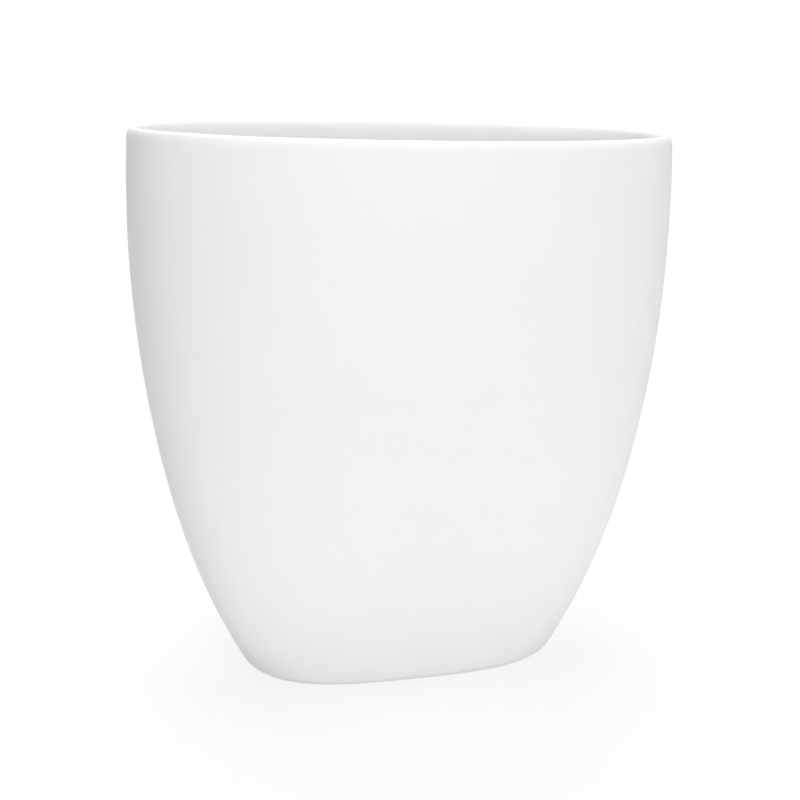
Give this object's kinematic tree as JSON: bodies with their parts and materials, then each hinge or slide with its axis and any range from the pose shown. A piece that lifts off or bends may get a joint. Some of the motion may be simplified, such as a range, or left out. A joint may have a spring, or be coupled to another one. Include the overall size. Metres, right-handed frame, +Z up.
{
  "type": "vase",
  "caption": "Flat oval table vase with a rounded lip, widening in one curve from a rounded-box foot to a wide open mouth.",
  "frame": {"origin": "on the table under the middle of the vase, level with the undersides of the foot pads", "axes": "+Z up through the mouth, +X along the width of the oval, -Y towards the viewer of the broad face"},
  "size_m": [0.1978, 0.1, 0.2013],
  "materials": {
    "white_matt_glaze": "satin",
    "milky_silicone": "satin"
  },
  "bodies": {
    "root": {"vase_body": "white_matt_glaze", "foot_pad_front_left": "milky_silicone", "foot_pad_front_right": "milky_silicone", "foot_pad_rear_left": "milky_silicone", "foot_pad_rear_right": "milky_silicone"}
  },
  "joints": []
}
